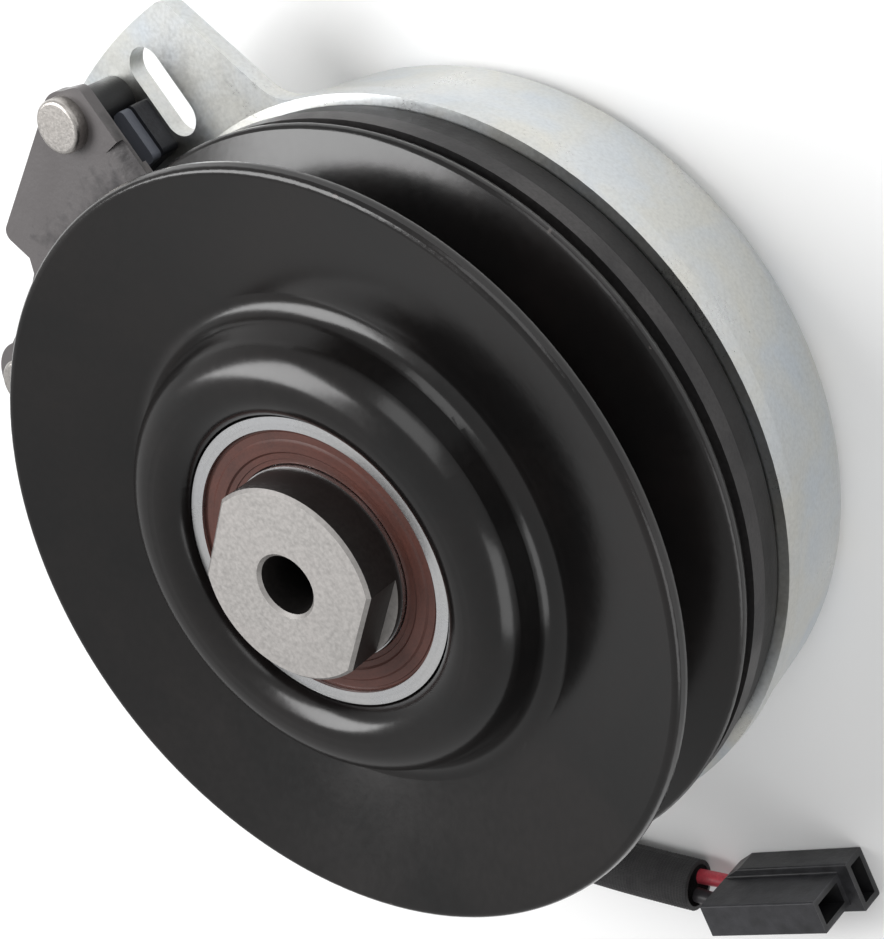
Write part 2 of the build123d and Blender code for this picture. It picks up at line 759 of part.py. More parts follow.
def balls(pitch_radius, ball_radius, count, rows, mode=Mode.ADD):
    """Add or cut the balls of a bearing."""
    for row in rows:
        with Locations((0, 0, row)):
            with PolarLocations(pitch_radius, count):
                Sphere(ball_radius, mode=mode)


with BuildPart() as pulley_balls:
    balls(pulley_pitch, pulley_ball, pulley_ball_count, pulley_rows)
pulley_balls.part.label = "pulley_balls"
export_step(pulley_balls.part, "parts/pulley_balls.step")

with BuildPart() as pulley_ball_cage:
    ring(pulley_pitch - cage_half, pulley_pitch + cage_half, pulley_rows[0] - pulley_ball,
         pulley_rows[1] + pulley_ball)
    balls(pulley_pitch, pulley_ball + running_clearance, pulley_ball_count, pulley_rows, Mode.SUBTRACT)
pulley_ball_cage.part.label = "pulley_ball_cage"
export_step(pulley_ball_cage.part, "parts/pulley_ball_cage.step")

with BuildPart() as field_balls:
    balls(field_pitch, field_ball, field_ball_count, field_rows)
field_balls.part.label = "field_balls"
export_step(field_balls.part, "parts/field_balls.step")

with BuildPart() as field_ball_cage:
    ring(field_pitch - cage_half, field_pitch + cage_half, field_rows[0] - cage_rear,
         field_rows[0] + cage_front)
    balls(field_pitch, field_ball + running_clearance, field_ball_count, field_rows, Mode.SUBTRACT)
field_ball_cage.part.label = "field_ball_cage"
export_step(field_ball_cage.part, "parts/field_ball_cage.step")


# ---------------------------------------------------------------- lead
def tube(route, radius, name):
    """Sweep a round cord along a route of straight runs joined by tangent arcs."""
    runs = [Vector(*end) - Vector(*start) for start, end in zip(route, route[1:])]
    bends = []
    for before, after in zip(runs, runs[1:]):
        half_turn = radians(before.get_angle(after) / 2)
        bends.append(0.45 * min(before.length, after.length) / tan(half_turn))
    print(name, "bend radii", [round(bend, 1) for bend in bends])
    with BuildLine():
        path = FilletPolyline(*route, radius=bends)
    with BuildSketch(Plane(origin=path @ 0, z_dir=path % 0)) as section:
        Circle(radius)
    sweep(section.sketch, path=path)


sleeve_start = Vector(*sleeve_route[0])
sleeve_end = Vector(*sleeve_route[-1])
boot_heading = (Vector(*sleeve_route[1]) - sleeve_start).normalized()
end_heading = (sleeve_end - Vector(*sleeve_route[-2])).normalized()
along = Vector(*polar(1, connector_angle), 0)
across = Vector(*polar(1, connector_angle + 90), 0)
connector_origin = Vector(*connector_back, 0)
boot_wall = shell_radius - shell_draft * (1 - (boot_height + boot_radius) / shell_depth)

with BuildPart() as lead_boot:
    with BuildSketch(Plane(origin=sleeve_start - boot_heading * boot_back, z_dir=boot_heading)):
        Circle(boot_radius)
    extrude(amount=boot_back + boot_bore)
    chamfer(edges().filter_by(GeomType.CIRCLE).sort_by(Axis.Y)[0], length=boot_chamfer)
    ring_cut(boot_wall, 0, 2 * shell_depth)
    with BuildSketch(boot_seat):
        Circle(boot_plug_radius)
    extrude(amount=shell_sheet + boot_radius / 2)
    with BuildSketch(Plane(origin=sleeve_start, z_dir=boot_heading)):
        Circle(sleeve_radius + boot_clearance)
    extrude(amount=2 * boot_back, mode=Mode.SUBTRACT)
lead_boot.part.label = "lead_boot"
export_step(lead_boot.part, "parts/lead_boot.step")

with BuildPart() as lead_sleeve:
    tube(sleeve_route, sleeve_radius, "lead_sleeve")
lead_sleeve.part.label = "lead_sleeve"
export_step(lead_sleeve.part, "parts/lead_sleeve.step")


def wire_route(start_height, end_height, aside):
    """Give the route of one wire from the sleeve's end to the connector's back."""
    start = Vector(sleeve_end.X, sleeve_end.Y, start_height) + across * aside
    end = Vector(*connector_back, end_height)
    lift = Vector(0, 0, wire_lift * (end_height - start_height))
    return [tuple(start), tuple(start + end_heading * wire_run + lift), tuple(end)]


black_end = connector_split + wire_radius + wire_end_gap
with BuildPart() as lead_wire_red:
    tube(wire_route(sleeve_end.Z - wire_offset, connector_split / 2, wire_aside), wire_radius, "lead_wire_red")
lead_wire_red.part.label = "lead_wire_red"
export_step(lead_wire_red.part, "parts/lead_wire_red.step")

with BuildPart() as lead_wire_black:
    tube(wire_route(sleeve_end.Z + wire_offset, black_end, -wire_aside), wire_radius, "lead_wire_black")
lead_wire_black.part.label = "lead_wire_black"
export_step(lead_wire_black.part, "parts/lead_wire_black.step")

connector_floor = Plane(origin=connector_origin, x_dir=along, z_dir=(0, 0, 1))
high_middle = (connector_split + connector_height) / 2


def way_plane(distance, height):
    """Give the plane across a way of the connector, with its x across and its y up."""
    return Plane(origin=connector_origin + along * distance + Vector(0, 0, height), x_dir=-across, z_dir=-along)


with BuildPart() as connector_housing:
    with BuildSketch(connector_floor):
        with BuildLine():
            Polyline(
                (0, -connector_flat / 2),
                (connector_shoulder, -connector_tall / 2),
                (connector_long, -connector_tall / 2),
                (connector_long, connector_tall / 2),
                (connector_shoulder, connector_tall / 2),
                (0, connector_flat / 2),
                close=True,
            )
        make_face()
    extrude(amount=connector_split)
    with BuildSketch(connector_floor.offset(connector_split)):
        Rectangle(connector_short, connector_flat, align=(Align.MIN, Align.CENTER))
    extrude(amount=connector_height - connector_split)
    fillet(edges().filter_by(lambda side: abs((side % 0).dot(along)) > 0.99), radius=connector_round)
    with BuildSketch(way_plane(connector_long, connector_split / 2)):
        Rectangle(connector_tall - 2 * connector_wall, connector_split - 2 * connector_wall)
    extrude(amount=cavity_depth, mode=Mode.SUBTRACT)
    with BuildSketch(way_plane(connector_short, high_middle)):
        Rectangle(connector_flat - 2 * connector_wall, connector_height - connector_split - 2 * connector_wall)
    extrude(amount=cavity_depth, mode=Mode.SUBTRACT)
connector_housing.part.label = "connector_housing"
export_step(connector_housing.part, "parts/connector_housing.step")

with BuildPart() as connector_blades:
    with BuildSketch(way_plane(connector_long - blade_short, connector_split / 2)):
        Rectangle(blade_width, blade_sheet)
    extrude(amount=cavity_depth - blade_short)
    with BuildSketch(way_plane(connector_short - blade_short, high_middle)):
        Rectangle(blade_sheet, blade_width)
    extrude(amount=cavity_depth - blade_short)
connector_blades.part.label = "connector_blades"
export_step(connector_blades.part, "parts/connector_blades.step")
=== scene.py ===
"""Visual model of a mower's electric power take-off clutch, in metres.

The clutch lies on the flat back of its field shell with the belt pulley and the hub nose up. The
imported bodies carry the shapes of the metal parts, and this script gives every part its finish,
and makes the braided sleeve and the moulded bearing seals as pieces of their own.
"""

import logging
from dataclasses import dataclass
from enum import Enum
from math import cos, pi, sin, tau
from typing import Iterable, Sequence

import bpy
from mathutils import Matrix, Vector


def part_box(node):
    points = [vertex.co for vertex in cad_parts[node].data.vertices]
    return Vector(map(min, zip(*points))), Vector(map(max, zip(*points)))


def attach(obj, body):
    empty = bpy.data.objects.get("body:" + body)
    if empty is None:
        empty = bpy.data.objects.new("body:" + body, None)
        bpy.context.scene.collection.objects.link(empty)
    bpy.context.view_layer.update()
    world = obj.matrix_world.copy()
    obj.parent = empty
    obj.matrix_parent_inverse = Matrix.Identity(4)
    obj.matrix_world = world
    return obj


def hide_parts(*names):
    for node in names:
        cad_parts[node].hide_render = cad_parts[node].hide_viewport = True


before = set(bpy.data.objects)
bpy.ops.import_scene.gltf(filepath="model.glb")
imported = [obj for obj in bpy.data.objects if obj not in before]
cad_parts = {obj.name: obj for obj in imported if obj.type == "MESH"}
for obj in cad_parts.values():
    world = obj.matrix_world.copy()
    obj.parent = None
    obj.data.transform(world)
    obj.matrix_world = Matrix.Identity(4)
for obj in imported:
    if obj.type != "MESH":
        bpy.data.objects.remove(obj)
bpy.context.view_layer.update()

log = logging.getLogger("clutch")
Point = tuple[float, float, float]
MM = 0.001
COLOUR_AT_NONE = 6       # a colour Mix node's socket for the colour where the share is 0
COLOUR_AT_FULL = 7       # and for the colour where the share is 1
MIXED_COLOUR = 2         # and its colour output
PATCH_SOFTNESS = 0.12    # half the width of a patch's edge, in the noise's own range
WEAR_WIDTH = 0.05        # from where rubbed metal begins to where it is bare
WEAR_SHOW = 0.7          # how much of the bare metal's colour a rubbed edge shows
FLOOR_GAP = 0.0001       # the floor lies this far under the clutch
SECOND_PATCH_PLACE = (0.31, 0.17, 0.05)


# ---------------------------------------------------------------- shader helpers
def tint(red: int, green: int, blue: int) -> tuple[float, float, float, float]:
    """Give the linear colour of a paint-chart colour.

    Args:
        red: Red on a display, 0 to 255.
        green: Green on a display, 0 to 255.
        blue: Blue on a display, 0 to 255.

    Returns:
        The colour as linear red, green, blue and a full alpha.
    """
    values = [channel / 255 for channel in (red, green, blue)]
    linear = [v / 12.92 if v <= 0.04045 else ((v + 0.055) / 1.055) ** 2.4 for v in values]
    return (linear[0], linear[1], linear[2], 1.0)


class Wiring:
    """Short calls that add and join the nodes of one shader tree."""

    def __init__(self, tree: bpy.types.NodeTree) -> None:
        """Keep the tree that the nodes are added to."""
        self.tree = tree

    def add(self, kind: str, **values: object) -> bpy.types.Node:
        """Add a node and set its properties, or its sockets where the name is a socket's.

        Args:
            kind: The node's type, without its ShaderNode prefix.
            **values: Properties by name, and sockets by name with underscores for spaces.

        Returns:
            The new node.
        """
        node = self.tree.nodes.new("ShaderNode" + kind)
        for name, value in values.items():
            if hasattr(node, name):
                setattr(node, name, value)
            else:
                self.feed(node.inputs[name.replace("_", " ")], value)
        return node

    def feed(self, socket: bpy.types.NodeSocket, value: object) -> None:
        """Link an output to a socket, or set the socket's own value."""
        if isinstance(value, bpy.types.NodeSocket):
            self.tree.links.new(value, socket)
        else:
            socket.default_value = value

    def sum_of(self, first: object, second: object, operation: str = "ADD") -> bpy.types.NodeSocket:
        """Join two values by an arithmetic operation.

        Args:
            first: A number or an output.
            second: A number or an output.
            operation: The Math node's operation.

        Returns:
            The result's output.
        """
        node = self.add("Math", operation=operation)
        self.feed(node.inputs[0], first)
        self.feed(node.inputs[1], second)
        return node.outputs[0]

    def blend(self, share: object, first: object, second: object) -> bpy.types.NodeSocket:
        """Mix two colours.

        Args:
            share: How much of the second colour shows, 0 to 1.
            first: The colour where the share is 0.
            second: The colour where the share is 1.

        Returns:
            The mixed colour's output.
        """
        node = self.add("Mix", data_type="RGBA")
        self.feed(node.inputs["Factor"], share)
        self.feed(node.inputs[COLOUR_AT_NONE], first)
        self.feed(node.inputs[COLOUR_AT_FULL], second)
        return node.outputs[MIXED_COLOUR]

    def spread(
        self, value: object, low: float, high: float, start: float = 0.0, end: float = 1.0
    ) -> bpy.types.NodeSocket:
        """Stretch a value from one range to another, held inside the new one.

        Args:
            value: The output that is stretched.
            low: The value that becomes start.
            high: The value that becomes end.
            start: The result at low.
            end: The result at high.

        Returns:
            The stretched value's output.
        """
        node = self.add("MapRange")
        for place, item in enumerate((value, low, high, start, end)):
            self.feed(node.inputs[place], item)
        return node.outputs[0]


def effect(
    name: str, inputs: Sequence[tuple[str, str, float]], outputs: Sequence[str]
) -> tuple[Wiring, dict, dict]:
    """Start a shader node group that more than one finish uses.

    Args:
        name: The group's name.
        inputs: The name, socket kind and default of each input.
        outputs: The names of the outputs, which are all values.

    Returns:
        The wiring of the group, its input sockets by name, and its output sockets by name.
    """
    tree = bpy.data.node_groups.new(name, "ShaderNodeTree")
    for label, kind, default in inputs:
        socket = tree.interface.new_socket(label, in_out="INPUT", socket_type=kind)
        if kind == "NodeSocketFloat":
            socket.default_value = default
    for label in outputs:
        tree.interface.new_socket(label, in_out="OUTPUT", socket_type="NodeSocketFloat")
    entry = tree.nodes.new("NodeGroupInput")
    leave = tree.nodes.new("NodeGroupOutput")
    return Wiring(tree), {s.name: s for s in entry.outputs}, {s.name: s for s in leave.inputs}


def cloud_effect() -> bpy.types.NodeTree:
    """Build the soft patches that plating, coating and oil leave on metal."""
    work, given, out = effect(
        "soft_patches",
        [
            ("Place", "NodeSocketVector", 0.0),
            ("Scale", "NodeSocketFloat", 30.0),
            ("Edge", "NodeSocketFloat", 0.5),
        ],
        ["Mask"],
    )
    noise = work.add(
        "TexNoise", Vector=given["Place"], Scale=given["Scale"], Detail=4.0, Roughness=0.55, Distortion=0.4
    )
    low = work.sum_of(given["Edge"], PATCH_SOFTNESS, "SUBTRACT")
    high = work.sum_of(given["Edge"], PATCH_SOFTNESS)
    work.feed(out["Mask"], work.spread(noise.outputs[0], low, high))
    return work.tree


def grain_effect() -> bpy.types.NodeTree:
    """Build the fine grain of cast, sintered, moulded and coated surfaces."""
    work, given, out = effect(
        "fine_grain",
        [
            ("Place", "NodeSocketVector", 0.0),
            ("Scale", "NodeSocketFloat", 2000.0),
            ("Depth", "NodeSocketFloat", 1.0),
        ],
        ["Value", "Height"],
    )
    fine = work.add("TexNoise", Vector=given["Place"], Scale=given["Scale"], Detail=3.0, Roughness=0.6)
    pits = work.add("TexVoronoi", Vector=given["Place"], Scale=given["Scale"], feature="SMOOTH_F1")
    value = work.sum_of(fine.outputs[0], work.sum_of(pits.outputs[0], 0.35, "MULTIPLY"), "SUBTRACT")
    work.feed(out["Value"], value)
    work.feed(out["Height"], work.sum_of(value, given["Depth"], "MULTIPLY"))
    return work.tree


def turning_effect() -> bpy.types.NodeTree:
    """Build the fine rings that a lathe or a grinder leaves about the axis."""
    work, given, out = effect(
        "turning_marks",
        [
            ("Place", "NodeSocketVector", 0.0),
            ("Pitch", "NodeSocketFloat", 600.0),
            ("Depth", "NodeSocketFloat", 1.0),
        ],
        ["Value", "Height"],
    )
    parts = work.add("SeparateXYZ", Vector=given["Place"])
    across = work.sum_of(parts.outputs[0], parts.outputs[0], "MULTIPLY")
    deep = work.sum_of(parts.outputs[1], parts.outputs[1], "MULTIPLY")
    radius = work.sum_of(work.sum_of(across, deep), 0.5, "POWER")
    along = work.sum_of(parts.outputs[2], radius)
    wander = work.add("TexNoise", Vector=given["Place"], Scale=60.0, Detail=1.0)
    place = work.add("CombineXYZ", X=along, Y=work.sum_of(wander.outputs[0], 0.0006, "MULTIPLY"))
    rings = work.add("TexNoise", Vector=place.outputs[0], Scale=given["Pitch"], Detail=3.0, Roughness=0.7)
    work.feed(out["Value"], rings.outputs[0])
    work.feed(out["Height"], work.sum_of(rings.outputs[0], given["Depth"], "MULTIPLY"))
    return work.tree


def wear_effect() -> bpy.types.NodeTree:
    """Build the mask of edges that handling has rubbed bright."""
    work, given, out = effect(
        "edge_wear",
        [("Place", "NodeSocketVector", 0.0), ("Reach", "NodeSocketFloat", 0.56)],
        ["Mask"],
    )
    shape = work.add("NewGeometry")
    breaks = work.add("TexNoise", Vector=given["Place"], Scale=420.0, Detail=4.0)
    rough = work.sum_of(shape.outputs["Pointiness"], work.sum_of(breaks.outputs[0], 0.08, "MULTIPLY"))
    work.feed(out["Mask"], work.spread(rough, given["Reach"], work.sum_of(given["Reach"], WEAR_WIDTH)))
    return work.tree


def weave_effect() -> bpy.types.NodeTree:
    """Build the crossing strands of a braid, on a map of turns and lengths."""
    work, given, out = effect(
        "braid_weave",
        [
            ("Place", "NodeSocketVector", 0.0),
            ("Count", "NodeSocketFloat", 24.0),
            ("Depth", "NodeSocketFloat", 1.0),
        ],
        ["Value", "Height"],
    )
    parts = work.add("SeparateXYZ", Vector=given["Place"])
    turns = []
    for operation in ("ADD", "SUBTRACT"):
        lay = work.sum_of(parts.outputs[0], parts.outputs[1], operation)
        turns.append(work.sum_of(work.sum_of(lay, given["Count"], "MULTIPLY"), tau, "MULTIPLY"))
    waves = [work.add("Math", operation="SINE") for turn in turns]
    for wave, turn in zip(waves, turns):
        work.feed(wave.inputs[0], turn)
    cross = work.sum_of(waves[0].outputs[0], waves[1].outputs[0], "MULTIPLY")
    value = work.spread(cross, -1.0, 1.0)
    work.feed(out["Value"], value)
    work.feed(out["Height"], work.sum_of(value, given["Depth"], "MULTIPLY"))
    return work.tree


EFFECTS = {
    "patches": cloud_effect(),
    "grain": grain_effect(),
    "turning": turning_effect(),
    "wear": wear_effect(),
    "weave": weave_effect(),
}


# ---------------------------------------------------------------- finishes
class Marks(Enum):
    """The tool marks that show on a surface."""

    NONE = "none"
    TURNED = "turned"
    WOVEN = "woven"


@dataclass(frozen=True)
class Finish:
    """How one plating, coating, rubber or plastic looks, from its colours to its grain."""

    colour: tuple[float, float, float, float]
    patch: tuple[float, float, float, float]
    patch_scale: float = 40.0
    patch_edge: float = 0.5
    patch_share: float = 0.6
    second_patch: tuple[float, float, float, float] | None = None
    # colour for faces that point sideways: painted shade, so the sides read darker than the up-facing face
    sides: tuple[float, float, float, float] | None = None
    worn: tuple[float, float, float, float] | None = None
    wear_reach: float = 0.56
    metal: float = 0.0
    smooth: float = 0.3
    rough: float = 0.45
    grain_scale: float = 2500.0
    grain_depth: float = 0.00002
    grain_tone: float = 0.12
    marks: Marks = Marks.NONE
    mark_scale: float = 900.0
    mark_depth: float = 0.00001
    mark_tone: float = 0.1
    coat: float = 0.0
    coat_roughness: float = 0.2

    def use(self, work: Wiring, effect_name: str, **values: object) -> bpy.types.Node:
        """Place one shared effect in the material.

        Args:
            work: The material's wiring.
            effect_name: The effect's key in EFFECTS.
            **values: The effect's inputs by name.

        Returns:
            The group node.
        """
        node = work.add("Group", node_tree=EFFECTS[effect_name])
        for name, value in values.items():
            work.feed(node.inputs[name], value)
        return node

    def material(self, name: str) -> bpy.types.Material:
        """Build the finish as a material.

        Args:
            name: The material's name.

        Returns:
            The material, with a Principled surface and a bump from its grain and marks.
        """
        made = bpy.data.materials.new(name)
        made.use_nodes = True
        made.diffuse_color = self.colour
        work = Wiring(made.node_tree)
        surface = made.node_tree.nodes["Principled BSDF"]
        where = work.add("TexCoord")
        place = where.outputs["Object"]

        patches = self.use(work, "patches", Place=place, Scale=self.patch_scale, Edge=self.patch_edge)
        share = work.sum_of(patches.outputs[0], self.patch_share, "MULTIPLY")
        colour = work.blend(share, self.colour, self.patch)
        if self.second_patch:
            away = work.add("Mapping", Vector=place, Location=SECOND_PATCH_PLACE)
            more = self.use(
                work, "patches", Place=away.outputs[0], Scale=self.patch_scale * 1.7, Edge=self.patch_edge
            )
            second_share = work.sum_of(more.outputs[0], self.patch_share, "MULTIPLY")
            colour = work.blend(second_share, colour, self.second_patch)
        # faces whose normal leans away from up take the sides colour: painted shade on the side faces
        if self.sides:
            lean = work.add("SeparateXYZ", Vector=where.outputs["Normal"])
            colour = work.blend(work.spread(lean.outputs[2], 0.4, 0.9, 1.0, 0.0), colour, self.sides)

        grain = self.use(work, "grain", Place=place, Scale=self.grain_scale, Depth=self.grain_depth)
        tone = work.spread(grain.outputs["Value"], 0.1, 0.5, 1.0 - self.grain_tone, 1.0 + self.grain_tone)
        height = grain.outputs["Height"]
        texture = grain.outputs["Value"]
        if self.marks is Marks.TURNED:
            rings = self.use(work, "turning", Place=place, Pitch=self.mark_scale, Depth=self.mark_depth)
            ring_tone = work.spread(
                rings.outputs["Value"], 0.3, 0.7, 1.0 - self.mark_tone, 1.0 + self.mark_tone
            )
            tone = work.sum_of(tone, ring_tone, "MULTIPLY")
            height = work.sum_of(height, rings.outputs["Height"])
            texture = work.sum_of(texture, rings.outputs["Value"])
        if self.marks is Marks.WOVEN:
            weave = self.use(
                work, "weave", Place=where.outputs["UV"], Count=self.mark_scale, Depth=self.mark_depth
            )
            weave_tone = work.spread(
                weave.outputs["Value"], 0.2, 0.8, 1.0 - self.mark_tone, 1.0 + self.mark_tone
            )
            tone = work.sum_of(tone, weave_tone, "MULTIPLY")
            height = work.sum_of(height, weave.outputs["Height"])
        shaded = work.add("VectorMath", operation="SCALE")
        work.feed(shaded.inputs[0], colour)
        work.feed(shaded.inputs["Scale"], tone)
        colour = shaded.outputs[0]
        if self.worn:
            wear = self.use(work, "wear", Place=place, Reach=self.wear_reach)
            colour = work.blend(work.sum_of(wear.outputs[0], WEAR_SHOW, "MULTIPLY"), colour, self.worn)

        work.feed(surface.inputs["Base Color"], colour)
        uneven = work.sum_of(
            work.sum_of(patches.outputs[0], 0.5, "MULTIPLY"), work.sum_of(texture, 0.6, "MULTIPLY")
        )
        work.feed(surface.inputs["Roughness"], work.spread(uneven, 0.0, 1.0, self.smooth, self.rough))
        bump = work.add("Bump", Strength=1.0, Distance=1.0, Height=height)
        work.feed(surface.inputs["Normal"], bump.outputs[0])
        surface.inputs["Metallic"].default_value = self.metal
        surface.inputs["Coat Weight"].default_value = self.coat
        surface.inputs["Coat Roughness"].default_value = self.coat_roughness
        return made


FINISHES: dict[str, Finish] = {
    "zinc_plate": Finish(
        tint(200, 202, 202), tint(184, 194, 204), patch_scale=38.0, patch_edge=0.5, patch_share=0.5,
        second_patch=tint(203, 199, 186), metal=1.0, smooth=0.24, rough=0.42, grain_scale=1500.0,
        grain_depth=0.000003, grain_tone=0.07,
    ),
    "black_coat": Finish(
        tint(9, 8, 8), tint(19, 15, 14), patch_scale=28.0, patch_share=0.7,
        worn=tint(84, 78, 76), wear_reach=0.61, smooth=0.15, rough=0.26, grain_scale=700.0,
        grain_depth=0.00001, grain_tone=0.14,
    ),
    "armature_steel": Finish(
        tint(52, 50, 50), tint(36, 35, 36), patch_scale=60.0, patch_share=0.7, metal=0.4,
        smooth=0.38, rough=0.60, grain_scale=1600.0, grain_depth=0.00003, grain_tone=0.25,
    ),
    "rotor_steel": Finish(
        tint(34, 33, 33), tint(24, 23, 23), patch_scale=50.0, patch_share=0.8, metal=0.3,
        smooth=0.42, rough=0.66, grain_scale=1400.0, grain_depth=0.00004, grain_tone=0.35,
        marks=Marks.TURNED, mark_scale=700.0,
    ),
    "brake_steel": Finish(
        tint(38, 36, 38), tint(50, 48, 50), patch_scale=70.0, patch_share=0.7,
        worn=tint(110, 106, 106), wear_reach=0.58, metal=0.0, smooth=0.28, rough=0.44, grain_scale=1300.0,
        grain_depth=0.00004, grain_tone=0.25,
    ),
    "pole_shoe_steel": Finish(
        tint(36, 37, 42), tint(26, 27, 32), patch_scale=110.0, patch_share=0.8, metal=0.3,
        smooth=0.40, rough=0.62, grain_scale=1500.0, grain_depth=0.00005, grain_tone=0.3,
    ),
    "grey_steel": Finish(
        tint(168, 165, 162), tint(136, 132, 130), patch_scale=80.0, metal=1.0, smooth=0.30,
        rough=0.50, grain_scale=1800.0, grain_tone=0.2, marks=Marks.TURNED, mark_scale=900.0,
    ),
    "bearing_steel": Finish(
        tint(222, 222, 222), tint(204, 206, 210), patch_scale=60.0, patch_share=0.5, metal=1.0,
        smooth=0.12, rough=0.30, grain_scale=2400.0, grain_depth=0.000004, grain_tone=0.04,
        marks=Marks.TURNED, mark_scale=1400.0, mark_depth=0.000006, mark_tone=0.05,
    ),
    "pin_steel": Finish(
        tint(188, 184, 180), tint(158, 154, 150), patch_scale=160.0, patch_share=0.7, metal=1.0,
        smooth=0.28, rough=0.48, grain_scale=1800.0, grain_depth=0.00002, grain_tone=0.14,
    ),
    "spring_steel": Finish(
        tint(150, 154, 166), tint(108, 112, 128), patch_scale=70.0, metal=1.0, smooth=0.22,
        rough=0.40, grain_scale=2200.0, grain_tone=0.1,
    ),
    "hub_steel": Finish(
        tint(190, 187, 184), tint(176, 172, 170), patch_scale=45.0, patch_share=0.5,
        # sides: painted shade, the hub's side faces darker than its up-facing face
        sides=tint(62, 59, 58), metal=0.9, smooth=0.34, rough=0.56, grain_scale=1300.0, grain_depth=0.000012,
        grain_tone=0.10, marks=Marks.TURNED, mark_scale=500.0, mark_tone=0.05,
    ),
    "seal_rubber": Finish(
        tint(84, 48, 40), tint(66, 38, 32), patch_scale=120.0, smooth=0.34, rough=0.54,
        grain_scale=2600.0, grain_depth=0.00002, grain_tone=0.16, marks=Marks.TURNED, mark_scale=1200.0,
        mark_tone=0.08,
    ),
    "cage_plastic": Finish(
        tint(196, 190, 172), tint(180, 172, 152), patch_scale=90.0, smooth=0.40, rough=0.60,
        grain_scale=2400.0,
    ),
    "magnet": Finish(
        tint(40, 42, 50), tint(30, 31, 38), patch_scale=200.0, patch_share=0.8,
        worn=tint(116, 120, 130), wear_reach=0.57, smooth=0.45, rough=0.70, grain_scale=1800.0,
        grain_depth=0.00006, grain_tone=0.3,
    ),
    "lining": Finish(
        tint(92, 80, 66), tint(70, 60, 50), patch_scale=300.0, patch_share=0.8, smooth=0.70, rough=0.90,
        grain_scale=900.0, grain_depth=0.0001, grain_tone=0.4,
    ),
    "copper_wire": Finish(
        tint(184, 104, 60), tint(150, 78, 42), patch_scale=80.0, metal=1.0, smooth=0.20, rough=0.36,
        grain_scale=2400.0, marks=Marks.TURNED, mark_scale=1600.0, mark_depth=0.00006, mark_tone=0.25,
    ),
    "bobbin_plastic": Finish(
        tint(224, 218, 200), tint(208, 200, 180), patch_scale=60.0, smooth=0.40, rough=0.58,
    ),
    "potting_resin": Finish(
        tint(38, 38, 40), tint(28, 28, 30), patch_scale=60.0, smooth=0.15, rough=0.35,
        grain_scale=700.0, coat=0.4,
    ),
    "bush_plastic": Finish(
        tint(20, 20, 22), tint(14, 14, 16), patch_scale=90.0, smooth=0.34, rough=0.52,
        grain_scale=1800.0, grain_depth=0.00003,
    ),
    "connector_plastic": Finish(
        tint(27, 27, 29), tint(20, 20, 22), patch_scale=120.0, patch_share=0.6,
        worn=tint(66, 66, 70), wear_reach=0.61, smooth=0.36, rough=0.54, grain_scale=1700.0,
        grain_depth=0.00004, grain_tone=0.14,
    ),
    "boot_rubber": Finish(
        tint(36, 35, 36), tint(48, 46, 46), patch_scale=130.0, smooth=0.55, rough=0.80,
        grain_scale=1700.0, grain_depth=0.00005, grain_tone=0.2,
    ),
    "black_insulation": Finish(
        tint(40, 38, 41), tint(52, 49, 52), patch_scale=180.0, smooth=0.32, rough=0.50,
        grain_scale=2600.0, grain_depth=0.00002,
    ),
    "braid": Finish(
        tint(38, 37, 38), tint(26, 25, 27), patch_scale=240.0, patch_share=0.6, smooth=0.50, rough=0.75,
        grain_scale=4200.0, grain_depth=0.00003, grain_tone=0.3, marks=Marks.WOVEN, mark_scale=48.0,
        mark_depth=0.00012, mark_tone=0.45,
    ),
    "red_insulation": Finish(
        tint(196, 72, 84), tint(176, 54, 68), patch_scale=200.0, patch_share=0.6, smooth=0.30,
        rough=0.46, grain_scale=2400.0, grain_depth=0.00002,
    ),
    "tinned_brass": Finish(
        tint(232, 230, 222), tint(214, 206, 184), patch_scale=260.0, metal=1.0, smooth=0.16,
        rough=0.32, grain_scale=3000.0, grain_depth=0.00001,
    ),
}
MADE: dict[str, bpy.types.Material] = {}


def finish(name: str) -> bpy.types.Material:
    """Give a finish's material, built the first time that it is asked for."""
    if name not in MADE:
        MADE[name] = FINISHES[name].material(name)
    return MADE[name]


def dress(piece: bpy.types.Object, name: str) -> None:
    """Put one finish on a piece.

    Args:
        piece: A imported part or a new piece.
        name: The finish's key in FINISHES.
    """
    piece.data.materials.clear()
    piece.data.materials.append(finish(name))
    log.info("%s wears %s", piece.name, name)


# ---------------------------------------------------------------- modelling helpers
def clear_selection() -> None:
    """Leave no object selected before a primitive is added."""
    if bpy.context.object and bpy.context.object.mode != "OBJECT":
        bpy.ops.object.mode_set(mode="OBJECT")
    bpy.ops.object.select_all(action="DESELECT")


def lathed(name: str, profile: Sequence[tuple[float, float]], around: int = 192) -> bpy.types.Object:
    """Turn a closed profile about the axis, one extruded ring after another.

    Args:
        name: The new piece's name.
        profile: Radius and height of each corner, in metres, going once round the section.
        around: How many sides the turned shape has.

    Returns:
        The new piece.
    """
    clear_selection()
    radius, height = profile[0]
    bpy.ops.mesh.primitive_circle_add(vertices=around, radius=radius, location=(0, 0, height))
    piece = bpy.context.object
    piece.name = name
    bpy.ops.object.transform_apply(location=True, rotation=True, scale=True)
    bpy.ops.object.mode_set(mode="EDIT")
    bpy.ops.mesh.select_all(action="SELECT")
    for (near, low), (far, high) in zip(profile, [*profile[1:], profile[0]]):
        bpy.ops.mesh.extrude_region_move()
        bpy.ops.transform.resize(value=(far / near, far / near, 1))
        bpy.ops.transform.translate(value=(0, 0, high - low))
    bpy.ops.mesh.select_all(action="SELECT")
    bpy.ops.mesh.remove_doubles(threshold=0.000001)
    bpy.ops.mesh.normals_make_consistent(inside=False)
    bpy.ops.object.mode_set(mode="OBJECT")
    bpy.ops.object.shade_smooth_by_angle(angle=pi / 5)
    return piece


